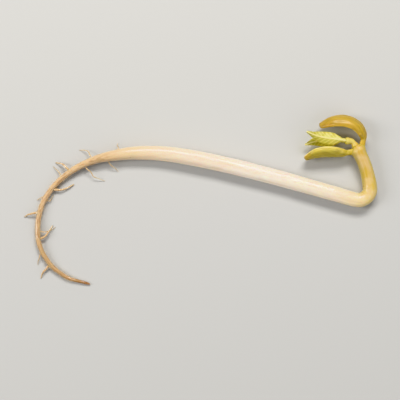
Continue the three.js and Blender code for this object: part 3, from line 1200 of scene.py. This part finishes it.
@dataclass
class Root:
    """The thin main root, with its side roots grown out of it."""

    middle: MiddleLine
    sides: int = 56
    spacing: float = 0.1
    tip_reach: float = 4.0
    knot: Unevenness = Unevenness(0.6, 1.5)
    knot_depth: float = 0.04
    wrinkle: Unevenness = Unevenness(2.6, 1.3, (0.0, 3.0))
    # The noise at which a wrinkle starts, and at which it is at its deepest.
    wrinkle_band: tuple[float, float] = (0.425, 0.725)
    wrinkle_depth: float = 0.022
    wrinkle_shade: float = 0.7
    ring: Unevenness = Unevenness(0.8, 0.2)
    ring_depth: float = 0.012
    ring_shade: float = 0.3
    # The share of the root past which its relief fades into the stem.
    fades_from: float = 0.8
    rootlet_sides: int = 20
    rootlet_spans: int = 5
    rootlet_spacing: float = 0.1
    rootlet_taper: float = 0.62
    # How high its middle lies at its tip and at the least, in shares of its radius.
    rootlet_tip_height: float = 0.8
    rootlet_least_height: float = 0.5
    rootlet_tip_reach: float = 0.3
    rootlet_tip_rings: int = 6
    # The share of the way at which its tip's tint is read.
    rootlet_tip_way: float = 0.3
    # Its wrinkles: how many to a mm across it, their length, and their depth in shares of its radius.
    rootlet_wrinkles: float = 9.0
    rootlet_wrinkle_length: float = 0.6
    rootlet_wrinkle_depth: float = 0.1
    rootlet_wrinkle_shade: float = 0.6
    # How far it strays sideways in mm, and how far on in the noise each of its points is.
    rootlet_wander: float = 0.35
    rootlet_stray_step: float = 0.8
    fine_diameter: float = 0.3
    fine_wander: float = 0.8
    # As in the table of rootlets above.
    fine_roots: tuple[Row, ...] = (
        (0.27, 222.0, 0.05, 2.6), (0.37, -12.0, 0.1, 3.4), (0.5, 8.0, 0.05, 2.4), (0.53, 172.0, 0.2, 1.9),
        (0.63, 96.0, 0.1, 2.9), (0.75, -66.0, 0.1, 5.2), (0.8, 118.0, 0.2, 3.6), (0.86, -78.0, 0.1, 3.6),
        (0.91, 62.0, 0.3, 2.4),
    )

    def relief(self, spot: Spot) -> Placed:
        """Shapes wrinkles along the root, faint rings and slow knots, which fade into the stem.

        Args:
            spot: The turned point.

        Returns:
            Its place across the line.
        """
        distance = spot.distance
        angle = math.atan2(spot.up, spot.right)
        cos, sin = math.cos(angle), math.sin(angle)
        knot = self.knot.at(cos, sin, distance)
        wrinkle = ease(self.wrinkle.at(cos, sin, distance), *self.wrinkle_band)
        ring = self.ring.at(cos, sin, distance)
        fade = 1.0 - ease(spot.share, self.middle.collar * self.fades_from, self.middle.collar)
        depth = self.knot_depth * knot + self.wrinkle_depth * wrinkle + self.ring_depth * ring
        shade = (self.wrinkle_shade * wrinkle + self.ring_shade * ring) * fade
        return shrunk(spot, COLLAR_DEPTH + (depth - COLLAR_DEPTH) * fade, shade)

    def rootlet(self, row: Row, diameter: float, wander: float) -> bmesh.types.BMesh:
        """Makes one side root, which tapers, strays a little and bends down to the table.

        Args:
            row: Where it starts as a share of the main root, its direction, its rise and its length.
            diameter: Its diameter at its foot in mm.
            wander: How far it strays sideways in mm.

        Returns:
            The side root.
        """
        share, degrees, rise, length = row
        start = self.middle.line.at(share * self.middle.collar)
        radius = diameter / 2 * GIRTH_KEPT
        points = []
        for k in range(self.rootlet_spans + 1):
            part = k / self.rootlet_spans
            height = start.z + (radius * self.rootlet_tip_height - start.z) * part**2
            height += length * rise * part * (1 - part)
            # It keeps its heading at its foot, strays most a third of the way on, and less towards its tip.
            aside = 2 * rough(k * self.rootlet_stray_step, degrees, length) - 1
            stray = wander * (1 - part / 2) * min(part * 3, 1) * aside
            place = start + polar(degrees + ROOTLET_TURN * part, length * part) + polar(degrees + 90.0, stray)
            points.append((place.x, place.y, max(height, radius * self.rootlet_least_height)))
        line = SmoothLine(points)
        body = [
            (place, radius * (1 - self.rootlet_taper * place / line.length))
            for place in SmoothLine.steps(0.0, line.length, self.rootlet_spacing)
        ]
        tip = rounded(line.length, body[-1][1], self.rootlet_tip_reach, self.rootlet_tip_rings)
        bm = turned([(0.0, 0.0), *body, *tip], self.rootlet_sides)
        across = self.rootlet_wrinkles

        def wrinkled(spot: Spot) -> Placed:
            """Shapes fine wrinkles along the side root.

            Args:
                spot: The turned point.

            Returns:
                Its place across the line.
            """
            wrinkle = rough(
                spot.right * across, spot.distance / self.rootlet_wrinkle_length, spot.up * across + degrees,
            )
            return shrunk(
                spot, self.rootlet_wrinkle_depth * radius * wrinkle, wrinkle * self.rootlet_wrinkle_shade,
            )

        bend(bm, line, wrinkled, ways=(share * self.middle.collar, self.rootlet_tip_way))
        return bm

    def shape(self) -> bmesh.types.BMesh:
        """Makes the mesh.

        Returns:
            The main root from its tip to the collar, with the side roots on it.
        """
        line = self.middle.line
        radius = self.middle.radius(0.0)
        tip = [(-distance, size) for distance, size in rounded(0.0, radius, self.tip_reach * radius)][::-1]
        sleeve = self.middle.sleeve(0.0, line.distance_at(self.middle.collar), self.spacing)
        bm = turned([*tip, *sleeve, (sleeve[-1][0], 0.0)], self.sides)
        bend(bm, line, self.relief)
        for row in ROOTLETS:
            gathered(bm, self.rootlet(row, ROOTLET_DIAMETER, self.rootlet_wander))
        for row in self.fine_roots:
            gathered(bm, self.rootlet(row, self.fine_diameter, self.fine_wander))
        return bm

    def build(self) -> bpy.types.Object:
        """Makes the root."""
        return finished(self.shape(), "root", Finish.ROOT, "taproot")


@dataclass
class RootHairs:
    """The fuzz of root hairs. A real one is about 0.012 mm thick. These are twice that, so that they show."""

    middle: MiddleLine
    count: int = 900
    sides: int = 5
    diameter: float = 0.024
    lengths: tuple[float, float] = (0.25, 0.75)
    # How much of its length a hair that points straight up lacks.
    upright_loss: float = 0.5
    # The shares of the root between which they grow.
    span: tuple[float, float] = (0.05, 0.72)
    # From a little below level on one side, over the top, to a little below level on the other.
    headings: tuple[float, float] = (-35.0, 215.0)
    # The share of the root's radius at which a hair starts, so that its foot is under the skin.
    foot_at: float = 0.85
    lean: float = 0.5
    # How far along a hair its middle and its tip lie, and how much each takes of the lean.
    knee: tuple[float, float] = (0.5, 0.6)
    tip: tuple[float, float] = (0.9, 1.5)
    # How far the tip hangs, as a share of the length.
    droop: float = 0.3
    # Where the hair starts to taper to its point, and how thick it still is there.
    point_from: float = 0.6
    point_girth: float = 0.8
    seed: int = 21

    def hair(self, dice: random.Random) -> bmesh.types.BMesh:
        """Makes one hair: a thin curved cone that droops to the table.

        Args:
            dice: The seeded source of its place, length and bend.

        Returns:
            The hair.
        """
        share = dice.uniform(*self.span) * self.middle.collar
        _, side, across = self.middle.line.directions(share)
        angle = math.radians(dice.uniform(*self.headings))
        out = side * math.cos(angle) + across * math.sin(angle)
        length = dice.uniform(*self.lengths) * (1.0 - self.upright_loss * abs(math.sin(angle)))
        radius = self.diameter / 2
        start = self.middle.line.at(share) + out * self.middle.radius(share) * self.foot_at
        lean = Vector([dice.uniform(-self.lean, self.lean) for _ in range(3)])
        points = [start]
        for far, leant in (self.knee, self.tip):
            points.append(start + (out + lean * leant) * length * far)
        points[-1].z -= length * self.droop
        for point in points[1:]:
            point.z = max(point.z, self.diameter)
        line = SmoothLine(points)
        tapering = (line.length * self.point_from, radius * self.point_girth)
        bm = turned([(0.0, 0.0), (0.0, radius), tapering, (line.length, 0.0)], self.sides)
        bend(bm, line, lambda spot: Placed(spot.right, spot.up, 0.0))
        return bm

    def build(self) -> bpy.types.Object:
        """Makes the hairs, and keeps those that stay within the part's own box.

        Returns:
            The piece.
        """
        dice = random.Random(self.seed)
        low, high = (Vector(corner) / MM for corner in CAD_BOX)
        bm = bmesh.new()
        for _ in range(self.count):
            hair = self.hair(dice)
            if all(low[k] < vert.co[k] < high[k] for vert in hair.verts for k in range(3)):
                gathered(bm, hair)
            else:
                hair.free()
        return finished(bm, "root_hairs", Finish.ROOT_HAIR, "taproot")


@dataclass
class SeedLeaf:
    """Half of the bean: swollen outside, nearly flat inside, on a short stalk."""

    middle: MiddleLine
    name: str
    node: str
    finish: Finish
    leaves_at: float
    faces: float
    way: tuple[Triple, ...]
    sides: int = 96
    spacing: float = 0.08
    fold: float = 0.1
    tip_reach: float = 0.53
    tip_rings: int = 9
    foot: Foot = Foot(0.75, 0.45, 1.1)
    # Where along the leaf the stalk ends and the blade starts.
    blade_band: tuple[float, float] = (0.06, 0.25)
    # The coarse and the fine wrinkles, across and along in mm, and how much of the whole is coarse.
    coarse_grain: tuple[float, float] = (0.6, 3.2)
    fine_grain: tuple[float, float] = (0.24, 1.3)
    coarse_share: float = 0.6
    # The noise at which a wrinkle starts, and at which it is at its deepest.
    wrinkle_band: tuple[float, float] = (0.375, 0.725)
    wrinkle_depth: float = 0.1
    wrinkle_shade: float = 0.8
    # How far the whole skin has shrunk, as a share of a wrinkle's depth.
    shrinking: float = 0.6
    rim_crispness: float = 0.5
    # The hollow of the inner face, and how fast it deepens from the rims inwards.
    hollow_depth: float = 0.16
    hollow_width: float = 0.45
    hollow_slope: float = 2.0
    # Where along the leaf the hollow fades in, and where it fades out.
    hollow_in: tuple[float, float] = (0.15, 0.4)
    hollow_out: tuple[float, float] = (0.4, 0.85)

    def __post_init__(self) -> None:
        """Works out the leaf's line and the course of its sizes."""
        self.line = SmoothLine([self.middle.foot(self.leaves_at), *self.way])
        self.sizes = SmoothLine(SEED_LEAF_SIZES)

    def section(self, spot: Spot) -> Placed:
        """Shapes the half bean, with a skin that has begun to wrinkle and a hollow inner face.

        Args:
            spot: The turned point. Its right is 1 outside and -1 inside, and its up is 1 and -1 at the rims.

        Returns:
            Its place across the line.
        """
        x, z, share, distance = spot
        half_width, outer, inner = (size * GIRTH_KEPT for size in self.sizes.at(share))
        grown = ease(share, *self.blade_band)
        flatter = 1.0 - self.rim_crispness * grown
        thick = x * outer if x > 0 else -inner * abs(x) ** flatter
        thick -= self.fold * half_width * z * z
        wide = z * half_width
        # Each leaf has wrinkles of its own, by the way that it faces.
        seed = self.faces / 10.0
        coarse, fine = (
            rough(thick / across, distance / along, wide / across + seed)
            for across, along in (self.coarse_grain, self.fine_grain)
        )
        mixed = self.coarse_share * coarse + (1.0 - self.coarse_share) * fine
        wrinkle = ease(mixed, *self.wrinkle_band)
        dent = grown * self.wrinkle_depth * (self.shrinking + wrinkle)
        thick -= x * dent
        wide -= z * dent
        if x < 0:
            middle = hump(z, self.hollow_width) * ease(share, *self.hollow_in)
            middle *= 1.0 - ease(share, *self.hollow_out)
            thick += self.hollow_depth * middle * min(-x * self.hollow_slope, 1.0)
        return Placed(thick, wide, self.wrinkle_shade * wrinkle * grown)

    def shape(self) -> bmesh.types.BMesh:
        """Makes the mesh.

        Returns:
            The seed leaf, its stalk let into the joint.
        """
        length = self.line.length
        tip = rounded(length, 1.0, self.tip_reach, self.tip_rings)
        bm = turned([*self.foot.profile(length, self.spacing), *tip], self.sides)
        bend(bm, self.line, self.section, self.faces)
        return bm

    def build(self) -> bpy.types.Object:
        """Makes the seed leaf."""
        return finished(self.shape(), self.name, self.finish, self.node)


@dataclass
class Shoot:
    """The short shoot between the seed leaves, which swells to its bud."""

    middle: MiddleLine
    sides: int = 56
    spacing: float = 0.05
    girth: tuple[float, ...] = (0.92, 0.88, 0.88, 0.93, 1.0, 1.1, 1.18)
    bud_reach: float = 0.71
    foot: Foot = Foot(0.7, 0.3, 0.9)
    # How many ridges there are to a mm across it, their length, depth and shade.
    ridges: float = 4.0
    ridge_length: float = 1.5
    ridge_depth: float = 0.03
    ridge_shade: float = 0.5

    def __post_init__(self) -> None:
        """Works out the shoot's line."""
        start = self.middle.foot(SHOOT_LEAVES_AT)
        halfway = start + polar(SHOOT_LEAVES_AT + SHOOT_TURN, SHOOT_LENGTH / 2)
        self.end = halfway + polar(SHOOT_POINTS_AT, SHOOT_LENGTH / 2) + UP * SHOOT_RISE
        self.line = SmoothLine([start, halfway, self.end])

    def section(self, spot: Spot) -> Placed:
        """Shapes soft ridges along the shoot."""
        ridge = rough(spot.right * self.ridges, spot.distance / self.ridge_length, spot.up * self.ridges)
        return shrunk(spot, self.ridge_depth * ridge, ridge * self.ridge_shade)

    def shape(self) -> bmesh.types.BMesh:
        """Makes the mesh.

        Returns:
            The shoot, its foot let into the joint.
        """
        radius = SHOOT_DIAMETER / 2 * GIRTH_KEPT
        girth = SmoothLine([(size, k, 0.0) for k, size in enumerate(self.girth)])
        length = self.line.length
        body = [
            (place, radius * girth.at(self.line.share_at(place)).x * spread)
            for place, spread in self.foot.profile(length, self.spacing)
        ]
        bm = turned([*body, *rounded(length, body[-1][1], self.bud_reach)], self.sides)
        bend(bm, self.line, self.section)
        return bm

    def build(self) -> bpy.types.Object:
        """Makes the shoot."""
        return finished(self.shape(), "shoot", Finish.SHOOT, "epicotyl_shoot")


@dataclass
class YoungLeaf:
    """One of the first pair of leaves: a short stalk and a narrow blade, folded like a boat."""

    shoot: Shoot
    name: str
    node: str
    facing: int
    way: tuple[Triple, ...]
    sides: int = 120
    spacing: float = 0.05
    fold: float = 0.24
    # How thick the blade is, as a share of its solid's.
    thinned: float = 0.5
    tip_reach: float = 0.294
    tip_rings: int = 8
    foot: Foot = Foot(0.6, 0.3, 0.7)
    # Where along the leaf the blade starts, where its form fades to the tip, and by how much.
    blade_band: tuple[float, float] = (0.12, 0.3)
    tip_band: tuple[float, float] = (0.85, 1.0)
    tip_fade: float = 0.5
    wave_depth: float = 0.07
    wave_length: float = 2.1
    # How far one margin's waves are ahead of the other's, in radians.
    wave_lead: float = 1.1
    rib_height: float = 0.07
    rib_width: float = 0.15
    vein_height: float = 0.03
    vein_width: float = 0.07
    # How fast rib and veins rise from the margins inwards, and how much of them the inner face shows.
    relief_rise: float = 2.0
    vein_rise: float = 3.0
    inner_relief: float = 0.4
    # How deep the skin lies between two veins, in shade, and how far a vein lightens it.
    between_shade: float = 0.6
    between_width: float = 0.25

    def __post_init__(self) -> None:
        """Works out the leaf's line and the course of its sizes."""
        forwards = polar(SHOOT_POINTS_AT, 1.0)
        left = polar(SHOOT_POINTS_AT + 90.0, 1.0)
        self.line = SmoothLine([
            self.shoot.end + forwards * ahead + UP * (self.facing * away) + left * aside
            for ahead, away, aside in self.way
        ])
        self.sizes = SmoothLine(FIRST_LEAF_SIZES)

    def section(self, spot: Spot) -> Placed:
        """Shapes the blade, with its rib, its veins and a gently waved margin.

        Args:
            spot: The turned point. Its right is 1 on the outer face and -1 on the inner, its up 1 and -1 at
                the margins.

        Returns:
            Its place across the line.
        """
        x, z, share, distance = spot
        half_width, outer, inner = (size * GIRTH_KEPT for size in self.sizes.at(share))
        blade = ease(share, *self.blade_band) * (1.0 - self.tip_fade * ease(share, *self.tip_band))
        thin = 1.0 - (1.0 - self.thinned) * blade
        wide = z * half_width
        thick = x * (outer if x > 0 else inner) * thin - self.fold * half_width * z * z
        beat = math.tau * distance / self.wave_length + (self.wave_lead if z > 0 else 0.0)
        thick += blade * self.wave_depth * z * z * math.sin(beat)
        skin = Finish.YOUNG_LEAF.value
        slanted = (distance - skin.vein_slope * abs(wide)) / skin.vein_spacing
        off_vein = abs(slanted - round(slanted)) * skin.vein_spacing
        rib = self.rib_height * hump(wide, self.rib_width)
        vein = self.vein_height * hump(off_vein, self.vein_width) * min(abs(x) * self.vein_rise, 1.0)
        raised = min(abs(x) * self.relief_rise, 1.0) * (1.0 if x > 0 else self.inner_relief)
        thick += blade * max(rib, vein) * raised
        return Placed(thick, wide, blade * self.between_shade * (1.0 - hump(off_vein, self.between_width)))

    def shape(self) -> bmesh.types.BMesh:
        """Makes the mesh.

        Returns:
            The leaf, its stalk let into the bud.
        """
        length = self.line.length
        tip = rounded(length, 1.0, self.tip_reach, self.tip_rings)
        bm = turned([*self.foot.profile(length, self.spacing), *tip], self.sides)
        bend(bm, self.line, self.section, self.facing * 90.0)
        return bm

    def build(self) -> bpy.types.Object:
        """Makes the leaf."""
        return finished(self.shape(), self.name, Finish.YOUNG_LEAF, self.node)


class Softbox(NamedTuple):
    """A soft light that points at the sprout: its place and face in metres, its watts and its tint."""

    name: str
    place: Triple
    face: tuple[float, float]
    power: float
    tint: str


@dataclass
class Studio:
    """The pale table, the soft lights and the camera straight above."""

    # The key hangs square to the stem, so that its shine runs along it.
    softboxes: tuple[Softbox, ...] = (
        Softbox("key_softbox", (0.03, 0.32, 0.36), (0.3, 0.13), 2.2, "#fffcf7"),
        Softbox("side_softbox", (-0.36, 0.02, 0.3), (0.12, 0.26), 1.0, "#fffdfa"),
        Softbox("fill_softbox", (0.32, -0.24, 0.3), (0.4, 0.4), 0.6, "#f6f8ff"),
    )
    # The table's side in metres, and the lens and its sensor in mm.
    table_size: float = 3.0
    lens: float = 100.0
    sensor: float = 36.0
    # How much of the picture's width the sprout takes.
    fill: float = 0.9
    room_tint: str = "#f3f1ee"
    room_light: float = 0.34

    def table(self) -> None:
        """Lays the table top at the height that the sprout rests on."""
        bm = bmesh.new()
        bmesh.ops.create_grid(bm, x_segments=4, y_segments=4, size=self.table_size / 2)
        mesh = bpy.data.meshes.new("table_top")
        bm.to_mesh(mesh)
        bm.free()
        mesh.materials.append(TableTop().make())
        table = bpy.data.objects.new("table_top", mesh)
        bpy.context.scene.collection.objects.link(table)

    @staticmethod
    def hang(softbox: Softbox) -> None:
        """Hangs one soft light.

        Args:
            softbox: The light.
        """
        lamp = bpy.data.lights.new(softbox.name, "AREA")
        lamp.shape = "RECTANGLE"
        lamp.size, lamp.size_y = softbox.face
        lamp.energy = softbox.power
        lamp.color = linear(softbox.tint)[:3]
        holder = bpy.data.objects.new(softbox.name, lamp)
        holder.location = softbox.place
        holder.rotation_euler = (-Vector(softbox.place)).to_track_quat("-Z", "Y").to_euler()
        bpy.context.scene.collection.objects.link(holder)

    def room(self) -> None:
        """Fills the room with soft light, and has colours shown as they are."""
        world = bpy.data.worlds.new("soft_room")
        world.use_nodes = True
        background = world.node_tree.nodes["Background"]
        background.inputs["Color"].default_value = linear(self.room_tint)
        background.inputs["Strength"].default_value = self.room_light
        bpy.context.scene.world = world
        bpy.context.scene.view_settings.view_transform = "Khronos PBR Neutral"

    def camera(self) -> None:
        """Hangs the camera over the middle of the sprout."""
        low, high = CAD_BOX
        eye = bpy.data.cameras.new("overhead_camera")
        eye.lens = self.lens
        eye.sensor_width = self.sensor
        eye.clip_start = 0.01
        holder = bpy.data.objects.new("overhead_camera", eye)
        height = (high[0] - low[0]) / self.fill * self.lens / self.sensor + high[2]
        holder.location = ((low[0] + high[0]) / 2, (low[1] + high[1]) / 2, height)
        bpy.context.scene.collection.objects.link(holder)
        bpy.context.scene.camera = holder

    def build(self) -> None:
        """Sets up table, lights, surroundings and camera."""
        self.table()
        for softbox in self.softboxes:
            self.hang(softbox)
        self.room()
        self.camera()


def main() -> None:
    """Builds the sprout piece by piece, then the studio round it."""
    logging.basicConfig(level=logging.INFO, format="%(name)s: %(message)s")
    middle = MiddleLine()
    shoot = Shoot(middle)
    for part in (
        Stem(middle),
        Root(middle),
        RootHairs(middle),
        SeedLeaf(
            middle, "seed_leaf_upper", "cotyledon_upper", Finish.SEED_LEAF_GOLD,
            UPPER_LEAVES_AT, UPPER_FACES, SEED_LEAF_UPPER_LINE,
        ),
        SeedLeaf(
            middle, "seed_leaf_lower", "cotyledon_lower", Finish.SEED_LEAF_GREEN,
            LOWER_LEAVES_AT, LOWER_FACES, SEED_LEAF_LOWER_LINE,
        ),
        shoot,
        YoungLeaf(shoot, "young_leaf_upper", "first_leaf_upper", 1, FIRST_LEAF_UPPER_LINE),
        YoungLeaf(shoot, "young_leaf_lower", "first_leaf_lower", -1, FIRST_LEAF_LOWER_LINE),
    ):
        piece = part.build()
        log.info("%s: %d faces", piece.name, len(piece.data.polygons))
    Studio().build()
    bpy.context.view_layer.update()


if __name__ == "__main__":
    main()
